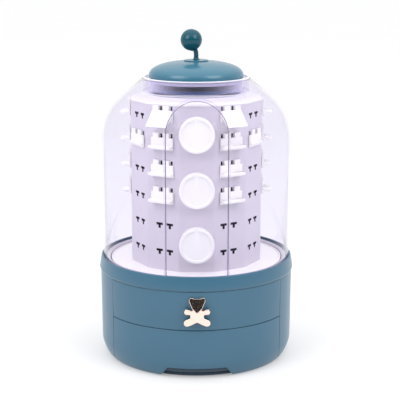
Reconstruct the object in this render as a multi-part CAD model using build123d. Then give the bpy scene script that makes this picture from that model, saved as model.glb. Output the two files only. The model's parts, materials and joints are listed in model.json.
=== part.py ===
from build123d import *
from math import cos, pi, radians, sin, sqrt, tan
import os

# Rotating jewelry box, in millimetres. Z is up and the table is the plane z = 0.
# The axis of the turning tower is the Z axis, and the drawers and the door face -Y.
# A round base holds two drawers. A collar on the base carries a clear dome with an
# arched door, and inside the dome a twelve-sided tower of hooks turns on its table.
# A small well in the top of the dome has a lift-off lid with a ball knob.

# Clearances and general values
seam = 0.3
seat_gap = 0.1
running_gap = 0.2
door_gap = 0.4
overrun = 5.0

# Heights of the main levels
foot_height = 1.0
lower_front_height = 50.2
upper_front_height = 39.2
collar_height = 14.8
turntable_rise = 11.0
tower_height = 166.6

base_bottom = foot_height
front_seam = base_bottom + lower_front_height
base_top = front_seam + upper_front_height
collar_top = base_top + collar_height
tower_bottom = base_top + turntable_rise
tower_top = tower_bottom + tower_height

# Base body: a round tub, a little wider at the top, with a rounded lower edge.
# The other radii follow from its radius, each with its own small step.
body_radius_top = 99.3
body_taper = 0.7
body_radius_bottom = body_radius_top - body_taper
body_corner = 10.5
shell_wall = 3.2
front_wall = 2.6
opening_inset = 15.0
opening_half_width = body_radius_top - opening_inset
floor_thickness = 2.4
floor_gap = 0.5
foot_count = 6
foot_radius = 5.5
foot_inset = 23.3
foot_circle = body_radius_top - foot_inset

# Deck under the turntable, and the shelf between the drawers
deck_thickness = 3.0
deck_edge = 3.9
boss_radius = 12.0
boss_height = 3.0
rib_inner = 29.0
rib_outer = 39.0
glide_thickness = 2.0
shelf_thickness = 1.6
shelf_groove = 1.5

# Drawers
tray_wall = 2.0
tray_floor = 1.8
tray_side_gap = 1.0
tray_back_gap = 0.8
upper_headroom = 7.7
lower_headroom = 9.7
upper_tray_height = upper_front_height - upper_headroom
lower_tray_height = lower_front_height - lower_headroom
liner_thickness = 1.0
liner_margin = 0.5
runner_width = 6.0
runner_thickness = 0.8
runner_end_gap = 2.86
runner_inset = 24.3
runner_half_spacing = opening_half_width - runner_inset

# Finger scoop under the lower front, and the dark pocket behind it
scoop_top_half_width = 29.3
scoop_bottom_half_width = 35.6
scoop_height = 9.2
scoop_corner = 2.5
pocket_depth = 2.0
pocket_border = 2.5
pocket_back = 10.3

# Bear-shaped pull on the upper front, as circles and ovals on one plate
pull_height_share = 0.77
pull_height = upper_front_height * pull_height_share
pull_thickness = 3.6
pull_standoff = 3.0
pull_edge = 0.9
pull_boss_radius = 3.0
pull_base_share = 0.1225
pull_base_height = upper_front_height * pull_base_share
pull_screw_radius = 1.5
pull_head_radius = 3.2
pull_head_height = 1.8
pull_bore_depth = 4.5

# Collar that joins base and dome, and the ring with the door's track
collar_flare = 1.2
collar_radius = body_radius_top + collar_flare
collar_bulge_height = 2.3
collar_step = 0.9
collar_top_radius = body_radius_top - collar_step
collar_round = 0.6
groove_depth = 7.0
track_floor_height = 8.8
track_width = 5.0
track_top_height = 13.6
track_slope = 1.6

# Dome and the well in its top. The straight side ends below the top of the tower.
dome_inset = 2.9
dome_radius = body_radius_top - dome_inset
dome_wall = 2.0
shoulder_share = 0.59544
shoulder_radius = dome_radius * shoulder_share
shoulder_angle = 49.0
shoulder_drop_share = 0.7544
shoulder_drop = shoulder_radius * shoulder_drop_share
straight_top = tower_top - shoulder_drop
track_inner_radius = dome_radius - dome_wall - track_width
well_share = 0.53942
well_radius = dome_radius * well_share
well_lip_rise = 1.22
well_depth = 13.3
well_corner = 1.5
cup_wall = 2.0
cup_gap = 0.05
cup_round = 1.0
lip_round = 0.8

# Arched door opening in the front of the dome
arch_radius = 29.6
arch_rise = 17.7
arch_sill = 0.5
door_thickness = 1.2
door_lap = 2.6

# Fittings in the well
ring_inset = 5.1
ring_radius = well_radius - ring_inset
ring_wall = 1.6
ring_height = 11.8
pad_gap = 0.7
pad_radius = ring_radius - ring_wall - pad_gap
pad_thickness = 2.0

# Lid with its knob
lid_inset = 3.9
lid_radius = well_radius - lid_inset
lid_rise = 15.6
lid_skirt = 1.4
lid_wall = 2.0
lid_edge = 0.9
lid_plate = 1.4
flange_radius = 12.2
flange_thickness = 1.2
stem_radius_low = 2.6
stem_radius_high = 2.3
stem_lean = 11.5
ball_radius = 10.9
ball_reach = 21.0
lid_screw_radius = 1.2
lid_screw_head = 3.4
lid_screw_head_height = 1.6

# Turntable and the pin it turns on
turntable_gap = 1.5
turntable_radius = track_inner_radius - turntable_gap
turntable_thickness = 3.0
turntable_lip_width = 1.6
turntable_lip_height = 0.8
pin_radius = 4.0
pin_clearance = 0.05
pin_head_radius = 7.0
pin_head_height = 1.5
hub_radius = 10.0
hub_height = 4.6
washer_radius = 8.5
washer_thickness = 0.5
clip_radius = 7.5
clip_thickness = 1.2
clip_groove_depth = 0.6
pin_tip = 1.2

# Twelve-sided tower and its slots
tower_sides = 12
tower_inset = 20.0
tower_apothem = turntable_radius - tower_inset
tower_wall = 2.2
cap_thickness = 1.8
cap_skirt = 5.0
cap_skirt_wall = 1.6
slot_rows = 6
first_row = 19.0
row_margin = 13.6
row_pitch = (tower_height - first_row - row_margin) / (slot_rows - 1)
slot_spacing = 11.8
slot_shift = 1.5
slot_bar_width = 6.3
slot_bar_height = 2.1
slot_stem_width = 2.1
slot_stem_height = 3.1
key_width = 1.9
key_height = 5.0
key_rise = 6.4

# Hooks that clip into the slots
hook_width = 25.5
hook_plate = 2.0
hook_back = 0.6
hook_low = 4.6
hook_shoulder = 7.5
hook_tab_top = 12.1
hook_tab_width = 6.2
hook_tab_offset = 3.9
hook_reach = 11.7
hook_ledge = 2.3
hook_corner = 2.4
slope_reach = 12.5
slope_low = 6.5
tongue_clearance = 0.1
tongue_length = 3.6

# Round dishes on the front and back faces of the tower
disc_radius = 17.6
disc_depth = 10.0
disc_rim = 2.9
disc_recess = 1.4
disc_round = 0.8
disc_notch_width = 4.8
disc_notch_length = 8.5
disc_notch_depth = 1.9
disc_names = ("lower", "middle", "upper")
disc_first = 28.6
disc_margin = 28.4
disc_pitch = (tower_height - disc_first - disc_margin) / (len(disc_names) - 1)

# Rows that carry a hook on each face, counted from the bottom row as 0.
# Faces are counted anticlockwise seen from above, and face 0 looks at the door.
hook_rows = {
    1: (2, 3, 4),
    2: (4,),
    3: (2, 3, 4, 5),
    4: (4,),
    5: (2, 3, 4),
    7: (2, 3, 4),
    8: (4,),
    9: (2, 3, 4, 5),
    10: (4,),
    11: (2, 3, 4),
}
slope_faces = (1, 5, 7, 11)
top_row = slot_rows - 1
disc_faces = {"front": 0, "back": tower_sides // 2}

# Pull outline as shares of its height: centre x, centre z, half width, half height
pull_ear_share = (0.215, 0.885, 0.115, 0.115)
pull_head_share = (0.0, 0.695, 0.262, 0.235)
pull_arm_share = (0.315, 0.470, 0.110, 0.098)
pull_body_share = (0.0, 0.335, 0.270, 0.245)
pull_foot_share = (0.285, 0.140, 0.142, 0.140)

step_angle = 360 / tower_sides
parts = {}


def keep(name, shape):
    """Remember a finished piece under its name."""
    parts[name] = shape


def turned(face):
    """Turn a profile drawn as (radius, height) about the Z axis."""
    return revolve(Plane.XZ * face, Axis.Z)


def ring(inner, outer, low, high):
    """A plain ring, or a disc where the inner radius is zero."""
    face = Circle(outer)
    if inner > 0:
        face = face - Circle(inner)
    return Pos(0, 0, low) * extrude(face, high - low)


def rounded(face, radius, wanted):
    """Round the corners of a profile that a test picks out."""
    return fillet(face.vertices().filter_by(wanted), radius)


def is_at(value, level):
    """Whether a coordinate lies at a level, within the smallest clearance."""
    return abs(value - level) < seat_gap


def block(x_low, x_high, y_low, y_high, z_low, z_high):
    """A box between two corners, used to trim other shapes."""
    middle = Pos((x_low + x_high) / 2, (y_low + y_high) / 2, (z_low + z_high) / 2)
    return middle * Box(x_high - x_low, y_high - y_low, z_high - z_low)


def strip(half_width, low, high):
    """Everything within a half width of the middle plane, over a height range."""
    far = collar_radius + overrun
    return block(-half_width, half_width, -far, far, low, high)


def half(side, low, high):
    """The front half (-1) or the back half (1) of the space, over a height range."""
    far = collar_radius + overrun
    y_low, y_high = (-far, 0) if side < 0 else (0, far)
    return block(-far, far, y_low, y_high, low, high)


def body_face(inset):
    """Profile of the base body, set in from its outer surface."""
    low = base_bottom + inset
    corner_height = base_bottom + body_corner
    centre_radius = body_radius_bottom - body_corner
    radius = body_corner - inset
    middle = (centre_radius + radius * sin(pi / 4), corner_height - radius * cos(pi / 4))
    edges = [
        Line((0, low), (centre_radius, low)),
        ThreePointArc((centre_radius, low), middle, (centre_radius + radius, corner_height)),
        Line((centre_radius + radius, corner_height), (body_radius_top - inset, base_top)),
        Line((body_radius_top - inset, base_top), (0, base_top)),
        Line((0, base_top), (0, low)),
    ]
    return make_face(edges)


def body_solid(inset):
    """The base body as a full solid, set in from its outer surface."""
    return turned(body_face(inset))


# Levels inside the base
floor_top = base_bottom + floor_thickness
floor_radius = body_radius_bottom - body_corner - floor_gap
deck_bottom = base_top - deck_thickness
deck_radius = body_radius_top - deck_edge
shelf_bottom = front_seam - shelf_thickness / 2
shelf_top = shelf_bottom + shelf_thickness
runner_reach = sqrt(floor_radius ** 2 - (runner_half_spacing + runner_width / 2) ** 2)
runner_length = 2 * (runner_reach - runner_end_gap)
tray_half_width = opening_half_width - tray_side_gap
front_half_width = opening_half_width - seam
lower_tray_bottom = floor_top + runner_thickness + running_gap
upper_tray_bottom = shelf_top + runner_thickness + running_gap


def build_base():
    """Tub, floor, feet, deck, shelf and drawer runners."""
    far = collar_radius + overrun
    tunnel = body_solid(shell_wall) & strip(opening_half_width, 0, deck_bottom)
    mouth = block(-opening_half_width, opening_half_width, -far, 0, 0, base_top + overrun)
    deck_seat = ring(0, deck_radius + seat_gap, deck_bottom, base_top + overrun)
    groove_half = opening_half_width + shelf_groove + seat_gap
    groove = strip(groove_half, shelf_bottom, shelf_top) & ring(0, deck_radius, shelf_bottom, shelf_top)
    floor_seat = ring(0, floor_radius, 0, floor_top)
    floor_well = ring(0, floor_radius, floor_top, base_bottom + body_corner)
    floor_well = floor_well & strip(opening_half_width, 0, deck_bottom)
    shell = body_solid(0) - tunnel - mouth - deck_seat - groove - floor_seat - floor_well
    keep("base_shell", shell)
    keep("base_floor", ring(0, floor_radius - seat_gap, base_bottom, floor_top))

    feet = [ring(0, foot_radius, 0, foot_height)]
    for index in range(foot_count):
        spot = Rot(0, 0, 360 / foot_count * (index + 0.5)) * Pos(foot_circle, 0, 0)
        feet.append(spot * ring(0, foot_radius, 0, foot_height))
    keep("rubber_feet", Compound(children=feet))

    shelf_edge = deck_radius - seat_gap
    shelf = ring(0, shelf_edge, shelf_bottom, shelf_top)
    shelf = shelf & strip(opening_half_width + shelf_groove, shelf_bottom, shelf_top)
    keep("drawer_shelf", shelf)

    for name, level in (("lower", floor_top), ("upper", shelf_top)):
        bars = []
        for side in (-1, 1):
            bar = Box(runner_width, runner_length, runner_thickness)
            bars.append(Pos(side * runner_half_spacing, 0, level + runner_thickness / 2) * bar)
        keep(name + "_drawer_runners", Compound(children=bars))


# Levels of the turning parts
turntable_bottom = tower_bottom - turntable_thickness
glide_top = turntable_bottom - running_gap
glide_bottom = glide_top - glide_thickness
boss_top = base_top + boss_height
hub_bottom = boss_top + running_gap
hub_top = tower_bottom + hub_height
washer_top = hub_top + running_gap + washer_thickness
clip_top = washer_top + clip_thickness
pin_top = clip_top + pin_tip


def build_deck():
    """Deck with its raised rib, the glide ring, and the pin with washer and clip."""
    deck = ring(0, deck_radius, deck_bottom, base_top)
    deck += ring(0, boss_radius, base_top, boss_top)
    deck += ring(rib_inner, rib_outer, base_top, glide_bottom)
    deck -= ring(0, pin_radius, deck_bottom - overrun, boss_top + overrun)
    keep("deck_plate", deck)
    keep("glide_ring", ring(rib_inner, rib_outer, glide_bottom, glide_top))

    pin = ring(0, pin_head_radius, deck_bottom - pin_head_height, deck_bottom)
    pin += ring(0, pin_radius, deck_bottom, pin_top)
    pin -= ring(pin_radius - clip_groove_depth, pin_radius + overrun, washer_top, clip_top)
    pin = chamfer(pin.edges().group_by(Axis.Z)[-1], clip_groove_depth)
    keep("turntable_pin", pin)
    washer_bottom = washer_top - washer_thickness
    keep("pin_washer", ring(pin_radius + pin_clearance, washer_radius, washer_bottom, washer_top))
    mouth = block(0, clip_radius + overrun, -pin_radius / 2, pin_radius / 2, washer_top, clip_top)
    clip = ring(pin_radius - clip_groove_depth, clip_radius, washer_top, clip_top)
    keep("pin_clip", clip - Rot(0, 0, step_angle) * mouth)


def front_panel(low, high):
    """A curved drawer front, flush with the base body."""
    return (body_solid(0) - body_solid(front_wall)) & half(-1, low, high) & strip(front_half_width, low, high)


def tray_body(low, high):
    """Outer form of a drawer tray: it meets the front panel and clears the tub behind."""
    front = body_solid(front_wall) & half(-1, low, high)
    back = body_solid(shell_wall + tray_back_gap) & half(1, low, high)
    return (front + back) & strip(tray_half_width, low, high)


def tray_hollow(low, high, inset):
    """Inside of a drawer tray, or of its liner, from a named inset of its walls."""
    far = collar_radius + overrun
    front_radius = body_radius_bottom - body_corner * (1 - cos(pi / 4)) - inset
    back_radius = body_radius_bottom - body_corner - inset
    front = ring(0, front_radius, low, high) & block(-far, far, -far, 0, low, high)
    back = ring(0, back_radius, low, high) & block(-far, far, 0, far, low, high)
    return (front + back) & strip(tray_half_width - inset, low, high)


def scoop_prism(border):
    """Trapezoid with rounded upper corners, run through the front along Y."""
    low = -overrun
    high = base_bottom + scoop_height + border
    lean = (scoop_bottom_half_width - scoop_top_half_width) / scoop_height
    top = scoop_top_half_width + border
    bottom = top + lean * (high - low)
    outline = Polyline((-bottom, low), (bottom, low), (top, high), (-top, high), close=True)
    face = make_face(outline)
    face = fillet(face.vertices().group_by(Axis.Y)[-1], scoop_corner + border)
    reach = collar_radius + overrun
    return Plane.XZ * extrude(face, reach)


def build_lower_drawer():
    """Lower front with its finger scoop, the dark pocket, the tray and its liner."""
    panel = front_panel(base_bottom, front_seam - seam)
    panel = panel - ring(0, floor_radius + seat_gap, 0, floor_top + running_gap)
    keep("lower_drawer_front", panel - scoop_prism(0))

    pocket_inner = body_radius_bottom - pocket_back
    pocket_body = body_solid(front_wall) & half(-1, 0, front_seam)
    pocket = (pocket_body & scoop_prism(pocket_border)) - ring(0, pocket_inner, 0, front_seam)
    pocket = pocket - (scoop_prism(0) - body_solid(front_wall + pocket_depth))
    keep("grip_pocket", pocket)

    low = lower_tray_bottom
    high = low + lower_tray_height
    tray = tray_body(low, high) - tray_hollow(low + tray_floor, high + overrun, tray_wall)
    notch = scoop_prism(pocket_border) & half(-1, 0, front_seam)
    tray = tray - (notch - ring(0, pocket_inner, 0, front_seam))
    keep("lower_drawer_tray", tray)
    liner_low = low + tray_floor
    liner = tray_hollow(liner_low, liner_low + liner_thickness, tray_wall + liner_margin)
    keep("lower_drawer_liner", liner - (notch - ring(0, pocket_inner - liner_margin, 0, front_seam)))


def pull_oval(share, side):
    """One oval of the bear-shaped pull with a rounded front, from its shares of the pull's height."""
    x, z, half_width, half_height = (value * pull_height for value in share)
    oval = extrude(Ellipse(half_width, half_height), pull_thickness)
    oval = fillet(oval.edges().group_by(Axis.Z)[-1], pull_edge)
    return Plane.XZ * Pos(side * x, z, 0) * oval


def pull_plate():
    """Bear form: ears, head, arms, body and feet joined in one plate."""
    plate = pull_oval(pull_head_share, 1) + pull_oval(pull_body_share, 1)
    for side in (-1, 1):
        plate += pull_oval(pull_ear_share, side)
        plate += pull_oval(pull_arm_share, side)
        plate += pull_oval(pull_foot_share, side)
    return plate


def build_upper_drawer():
    """Upper front, the bear-shaped pull with its screw, the tray and its liner."""
    low = upper_tray_bottom
    high = low + upper_tray_height
    pull_bottom = front_seam + pull_base_height
    screw_height = pull_bottom + pull_height * pull_body_share[1]
    radius_there = body_radius_bottom + (body_radius_top - body_radius_bottom) * screw_height / base_top
    panel_y = -radius_there
    plate_back = panel_y - pull_standoff

    inner_y = panel_y + front_wall + tray_wall * 2
    bore = Pos(0, inner_y + overrun, screw_height) * Rot(90, 0, 0) * ring(
        0, pull_screw_radius + tongue_clearance, 0, overrun * 3)
    panel = front_panel(front_seam + seam, base_top - seam)
    keep("upper_drawer_front", panel - bore)

    hollow = tray_hollow(low + tray_floor, high + overrun, tray_wall)
    tray = tray_body(low, high) - hollow - bore
    keep("upper_drawer_tray", tray)
    liner_low = low + tray_floor
    keep("upper_drawer_liner", tray_hollow(liner_low, liner_low + liner_thickness, tray_wall + liner_margin))

    plate = Pos(0, plate_back, pull_bottom) * pull_plate()
    boss = Pos(0, panel_y + pull_edge, screw_height) * Rot(90, 0, 0) * ring(
        0, pull_boss_radius, 0, pull_standoff + 2 * pull_edge)
    pull = plate + (boss - body_solid(0))
    wall_front = body_radius_bottom - body_corner * (1 - cos(pi / 4)) - tray_wall
    head_y = -wall_front
    tip_y = panel_y - pull_bore_depth
    shank_y = head_y + pull_head_height / 2
    shank = Pos(0, shank_y, screw_height) * Rot(90, 0, 0) * ring(0, pull_screw_radius, 0, shank_y - tip_y)
    keep("bear_pull", pull - shank)
    head = Pos(0, head_y + pull_head_height, screw_height) * Rot(90, 0, 0) * ring(
        0, pull_head_radius, 0, pull_head_height)
    head = head - ring(wall_front, collar_radius, front_seam, base_top)
    keep("pull_screw", head + shank)


def build_collar():
    """Teal collar with the dome's groove, and the ring with the door's track."""
    inner = dome_radius - dome_wall
    lip_inner = dome_radius + running_gap
    groove_floor = collar_top - groove_depth
    widest = base_top + collar_bulge_height
    outline = Polyline(
        (inner, base_top),
        (body_radius_top, base_top),
        (collar_radius, widest),
        (collar_top_radius, collar_top),
        (lip_inner, collar_top),
        (lip_inner, groove_floor),
        (inner, groove_floor),
        close=True,
    )
    face = make_face(outline)
    corners = face.vertices()
    face = fillet(corners.group_by(Axis.Y)[-1].sort_by(Axis.X)[-1:], collar_round)
    face = fillet(face.vertices().sort_by(Axis.X)[-1:], collar_bulge_height)
    keep("collar_ring", turned(face))

    track_floor = base_top + track_floor_height
    track_wall = inner - door_gap - door_thickness - door_gap
    track_top = base_top + track_top_height
    track_outer = inner - running_gap
    outline = Polyline(
        (track_inner_radius, base_top),
        (track_outer, base_top),
        (track_outer, track_floor),
        (track_wall, track_floor),
        (track_wall, track_top),
        (track_wall - running_gap * 2, track_top),
        (track_inner_radius, track_top - track_slope),
        close=True,
    )
    keep("track_ring", turned(make_face(outline)))


# Levels of the dome
dome_foot = collar_top - groove_depth
shoulder_centre = dome_radius - shoulder_radius
turn = radians(shoulder_angle)
cup_outer = well_radius + cup_wall
bore_radius = cup_outer + cup_gap


def shoulder_point(inset, share):
    """A point of the dome's shoulder arc, set in from its outer surface."""
    radius = shoulder_radius - inset
    return (shoulder_centre + radius * cos(turn * share), straight_top + radius * sin(turn * share))


def cone_height(inset, radius):
    """Height of the dome's straight upper cone at a radius, set in from outside."""
    start_radius, start_height = shoulder_point(inset, 1)
    return start_height + (start_radius - radius) / tan(turn)


def shell_end(inset):
    """Where the dome's cone ends at the bore for the well, set in from outside."""
    return (bore_radius, cone_height(inset, bore_radius))


def shell_edges(inset, low):
    """Side, shoulder arc and cone of the dome, from its foot to the bore in its top."""
    side = dome_radius - inset
    return [
        Line((side, low), (side, straight_top)),
        ThreePointArc((side, straight_top), shoulder_point(inset, 0.5), shoulder_point(inset, 1)),
        Line(shoulder_point(inset, 1), shell_end(inset)),
    ]


well_rim = cone_height(0, bore_radius) + well_lip_rise
well_floor = well_rim - well_depth
well_under = well_floor - cup_wall
spring_height = straight_top + arch_rise


def arch_prism(border, low):
    """Arched prism through the front of the dome, larger by a border all round."""
    radius = arch_radius + border
    face = Pos(0, (low + spring_height) / 2) * Rectangle(2 * radius, spring_height - low)
    face = face + Pos(0, spring_height) * Circle(radius)
    depth = dome_radius - bore_radius
    return Pos(0, -bore_radius, 0) * (Plane.XZ * extrude(face, depth + overrun))


def build_dome():
    """Clear dome with its arched opening, the cup of the well in its top, and the door."""
    edges = shell_edges(0, dome_foot) + shell_edges(dome_wall, dome_foot)
    edges += [
        Line(shell_end(0), shell_end(dome_wall)),
        Line((dome_radius - dome_wall, dome_foot), (dome_radius, dome_foot)),
    ]
    keep("clear_dome", turned(make_face(edges)) - arch_prism(0, collar_top + arch_sill))

    outline = Polyline(
        (0, well_under),
        (cup_outer, well_under),
        (cup_outer, well_rim),
        (well_radius, well_rim),
        (well_radius, well_floor),
        (0, well_floor),
        close=True,
    )
    face = make_face(outline)
    face = rounded(face, cup_round, lambda v: v.X > well_radius and v.Y < well_under + seat_gap)
    face = rounded(face, well_corner, lambda v: is_at(v.X, well_radius) and is_at(v.Y, well_floor))
    face = rounded(face, lip_round, lambda v: is_at(v.Y, well_rim))
    keep("well_cup", turned(face))

    foot = base_top + track_floor_height + door_gap
    outer = dome_wall + door_gap
    inner = outer + door_thickness
    edges = shell_edges(outer, foot) + shell_edges(inner, foot)
    edges += [Line(shell_end(inner), shell_end(outer))]
    edges += [Line((dome_radius - inner, foot), (dome_radius - outer, foot))]
    keep("arch_door", turned(make_face(edges)) & arch_prism(door_lap, foot))


def build_well():
    """Frosted ring that carries the lid, and the pad on the floor of the well."""
    top = well_floor + ring_height
    keep("well_ring", ring(ring_radius - ring_wall, ring_radius, well_floor, top))
    keep("well_pad", ring(0, pad_radius, well_floor, well_floor + pad_thickness))


lid_bottom = well_floor + ring_height + seat_gap
lid_widest = lid_bottom + lid_skirt
lid_top = lid_widest + lid_rise


def lid_dome(radius, rise):
    """Half of a flattened ball over the lid's widest level."""
    face = Ellipse(radius, rise) & Pos(radius / 2, rise / 2) * Rectangle(radius, rise)
    return turned(Pos(0, lid_widest) * face)


def build_lid():
    """Lid shell, its underside plate, and the ball knob on a leaning stem."""
    skirt = ring(0, lid_radius, lid_bottom, lid_widest)
    skirt = fillet(skirt.edges().group_by(Axis.Z)[0], lid_edge)
    shell = lid_dome(lid_radius, lid_rise) + skirt
    plate_seat = ring(0, lid_radius - lid_wall, lid_bottom - overrun, lid_widest)
    shell = shell - lid_dome(lid_radius - lid_wall, lid_rise - lid_wall) - plate_seat
    inner_top = lid_top - lid_wall
    flange_top = lid_top + flange_thickness
    screw_top = flange_top + ball_radius / 2
    shank = ring(0, lid_screw_radius, inner_top - lid_wall, screw_top)
    keep("lid_shell", shell - shank)
    plate_radius = lid_radius - lid_wall - seat_gap
    keep("lid_plate", ring(0, plate_radius, lid_bottom, lid_bottom + lid_plate - seat_gap))

    full_lid = lid_dome(lid_radius, lid_rise)
    flange = Cone(flange_radius, flange_radius - flange_thickness, 2 * flange_thickness)
    flange = Pos(0, 0, flange_top - flange_thickness) * flange - full_lid - shank
    keep("knob_flange", flange)

    lean = Pos(0, 0, flange_top) * Rot(0, -stem_lean, 0)
    stem_length = ball_reach
    stem = lean * Pos(0, 0, stem_length / 2 - overrun / 2) * Cone(
        stem_radius_low, stem_radius_high, stem_length - ball_radius + overrun)
    stem = stem - ring(0, flange_radius, flange_top - 2 * overrun, flange_top)
    keep("knob_stem", stem - shank)
    ball = lean * Pos(0, 0, ball_reach) * Sphere(ball_radius)
    keep("knob_ball", ball - stem)
    drop = 1 - sqrt(1 - (lid_screw_head / (lid_radius - lid_wall)) ** 2)
    head_top = inner_top - (lid_rise - lid_wall) * drop - pin_clearance
    head = ring(0, lid_screw_head, head_top - lid_screw_head_height, head_top)
    keep("lid_screw", head + ring(0, lid_screw_radius, head_top, screw_top))


def tower_polygon(apothem):
    """Twelve-sided outline with one flat side towards the door."""
    return RegularPolygon(apothem, tower_sides, major_radius=False, rotation=step_angle / 2)


def on_face(number):
    """Place on a face of the tower: x runs along it, y up from its foot, z outwards."""
    plane = Plane(origin=(0, -tower_apothem, tower_bottom), x_dir=(1, 0, 0), z_dir=(0, -1, 0))
    return Rot(0, 0, number * step_angle) * plane.location


def face_side(number):
    """The slots lean towards the front face: +1 on the left faces, -1 on the right."""
    return 1 if number > tower_sides / 2 else -1


def row_height(row):
    """Height of a row of slots above the foot of the tower."""
    return first_row + row_pitch * row


def slot_columns(number):
    """The two slot positions along a face."""
    middle = face_side(number) * slot_shift
    return (middle - slot_spacing / 2, middle + slot_spacing / 2)


def slot_face():
    """T-shaped slot: a bar with a stem below it."""
    bar = Rectangle(slot_bar_width, slot_bar_height, align=(Align.CENTER, Align.MIN))
    stem = Rectangle(slot_stem_width, slot_stem_height + slot_bar_height / 2, align=(Align.CENTER, Align.MAX))
    return bar + Pos(0, slot_bar_height / 2) * stem


def hooked_rows(number):
    """All rows of a face that carry a hook, the sloped one included."""
    rows = list(hook_rows[number])
    if number in slope_faces:
        rows.append(top_row)
    return rows


def build_tower():
    """Tower shell with its slots, the cap, the turntable and the round dishes."""
    wall_top = tower_top - cap_thickness
    inner = tower_apothem - tower_wall
    section = tower_polygon(tower_apothem) - tower_polygon(inner)
    shell = Pos(0, 0, tower_bottom) * extrude(section, wall_top - tower_bottom)
    cutters = []
    slot = Pos(0, 0, -tower_wall - overrun) * extrude(slot_face(), tower_wall + 2 * overrun)
    key = Pos(0, 0, -tower_wall - overrun) * extrude(
        Rectangle(key_width, key_height, align=(Align.CENTER, Align.MIN)), tower_wall + 2 * overrun)
    for number in hook_rows:
        hooked = hooked_rows(number)
        for row in range(slot_rows):
            for column in slot_columns(number):
                spot = on_face(number) * Pos(column, row_height(row), 0)
                cutters.append(spot * slot)
                if row in hooked:
                    cutters.append(spot * Pos(0, key_rise, 0) * key)
    shell = shell - cutters
    keep("tower_shell", shell)

    cap = Pos(0, 0, wall_top) * extrude(tower_polygon(tower_apothem), cap_thickness)
    skirt = tower_polygon(inner - seat_gap) - tower_polygon(inner - seat_gap - cap_skirt_wall)
    cap += Pos(0, 0, wall_top - cap_skirt) * extrude(skirt, cap_skirt)
    keep("tower_cap", cap)

    lip_inner = turntable_radius - turntable_lip_width
    table = ring(0, turntable_radius, turntable_bottom, tower_bottom)
    table += ring(lip_inner, turntable_radius, tower_bottom, tower_bottom + turntable_lip_height)
    table = fillet(table.edges().group_by(Axis.Z)[-1].sort_by(SortBy.LENGTH)[-1:], turntable_lip_height / 2)
    table += ring(0, hub_radius, hub_bottom, hub_top)
    table -= ring(0, pin_radius + pin_clearance, hub_bottom - overrun, hub_top + overrun)
    keep("turntable", table)

    for place, number in disc_faces.items():
        for index, name in enumerate(disc_names):
            spot = on_face(number) * Pos(0, disc_first + disc_pitch * index, 0)
            keep("dish_" + place + "_" + name, spot * dish())


def dish():
    """Round dish with a raised rim and a notch at the top of the rim."""
    puck = extrude(Circle(disc_radius), disc_depth)
    puck = fillet(puck.edges().group_by(Axis.Z)[-1], disc_round)
    recess = Pos(0, 0, disc_depth - disc_recess) * extrude(Circle(disc_radius - disc_rim), overrun)
    notch_face = Rectangle(disc_notch_width, disc_notch_length + overrun, align=(Align.CENTER, Align.MIN))
    notch_low = disc_radius - disc_notch_length
    notch = Pos(0, notch_low, disc_depth - disc_notch_depth) * extrude(notch_face, overrun)
    return puck - recess - notch


def tongues(number):
    """The two tongues that pass through the slots behind a hook."""
    width = slot_stem_width - 2 * tongue_clearance
    height = slot_stem_height - tongue_clearance
    face = Rectangle(width, height, align=(Align.CENTER, Align.MAX))
    tongue = Pos(0, 0, hook_back - tongue_length) * extrude(face, tongue_length)
    pair = Part()
    for column in slot_columns(number):
        pair += Pos(column, 0, 0) * tongue
    return pair


def tabs(number):
    """The two upright tabs on the shoulder of a hook."""
    side = face_side(number)
    face = Rectangle(hook_tab_width, hook_tab_top - hook_shoulder, align=(Align.CENTER, Align.MIN))
    tab = Pos(0, hook_shoulder, hook_back) * extrude(face, hook_plate)
    pair = Part()
    for column in slot_columns(number):
        pair += Pos(column - side * hook_tab_offset, 0, 0) * tab
    return pair


def ledge_hook(number):
    """Hook with an upright plate and a ledge to hang or lay jewelry on."""
    height = hook_shoulder + hook_low
    plate_face = Rectangle(hook_width, height, align=(Align.CENTER, Align.MIN))
    plate = Pos(0, -hook_low, hook_back) * extrude(plate_face, hook_plate)
    ledge_face = Rectangle(hook_width, hook_reach - hook_back, align=(Align.CENTER, Align.MIN))
    ledge_face = fillet(ledge_face.vertices().group_by(Axis.Y)[-1], hook_corner)
    ledge = extrude(Pos(0, hook_back) * ledge_face, hook_ledge)
    ledge = Pos(0, -hook_low + hook_ledge, 0) * Rot(90, 0, 0) * ledge
    return plate + ledge + tabs(number) + tongues(number)


def sloped_hook(number):
    """Hook whose plate slopes outwards to its lower edge."""
    back = hook_back
    outline = Polyline(
        (back, hook_shoulder),
        (back + hook_plate, hook_shoulder),
        (slope_reach, -slope_low),
        (slope_reach - hook_plate, -slope_low),
        (back, hook_shoulder - 2 * hook_plate),
        close=True,
    )
    side_plane = Plane(origin=(hook_width / 2, 0, 0), x_dir=(0, 0, 1), z_dir=(-1, 0, 0))
    plate = side_plane * extrude(make_face(outline), hook_width)
    root_face = Rectangle(hook_width, hook_shoulder + slot_stem_height, align=(Align.CENTER, Align.MAX))
    root = Pos(0, hook_shoulder, back) * extrude(root_face, hook_plate)
    return plate + root + tabs(number) + tongues(number)


def build_hooks():
    """One group of ledge hooks for each face, and the sloped hooks of the top row."""
    for number, rows in hook_rows.items():
        hook = ledge_hook(number)
        group = [on_face(number) * Pos(0, row_height(row), 0) * hook for row in rows]
        keep("ledge_hooks_face_" + str(number), Compound(children=group))
    for number in slope_faces:
        spot = on_face(number) * Pos(0, row_height(top_row), 0)
        keep("sloped_hook_face_" + str(number), spot * sloped_hook(number))


build_base()
build_deck()
build_lower_drawer()
build_upper_drawer()
build_collar()
build_dome()
build_well()
build_lid()
build_tower()
build_hooks()

os.makedirs("parts", exist_ok=True)
for name, shape in parts.items():
    export_step(shape, "parts/" + name + ".step")
print(len(parts), "pieces written")
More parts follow.
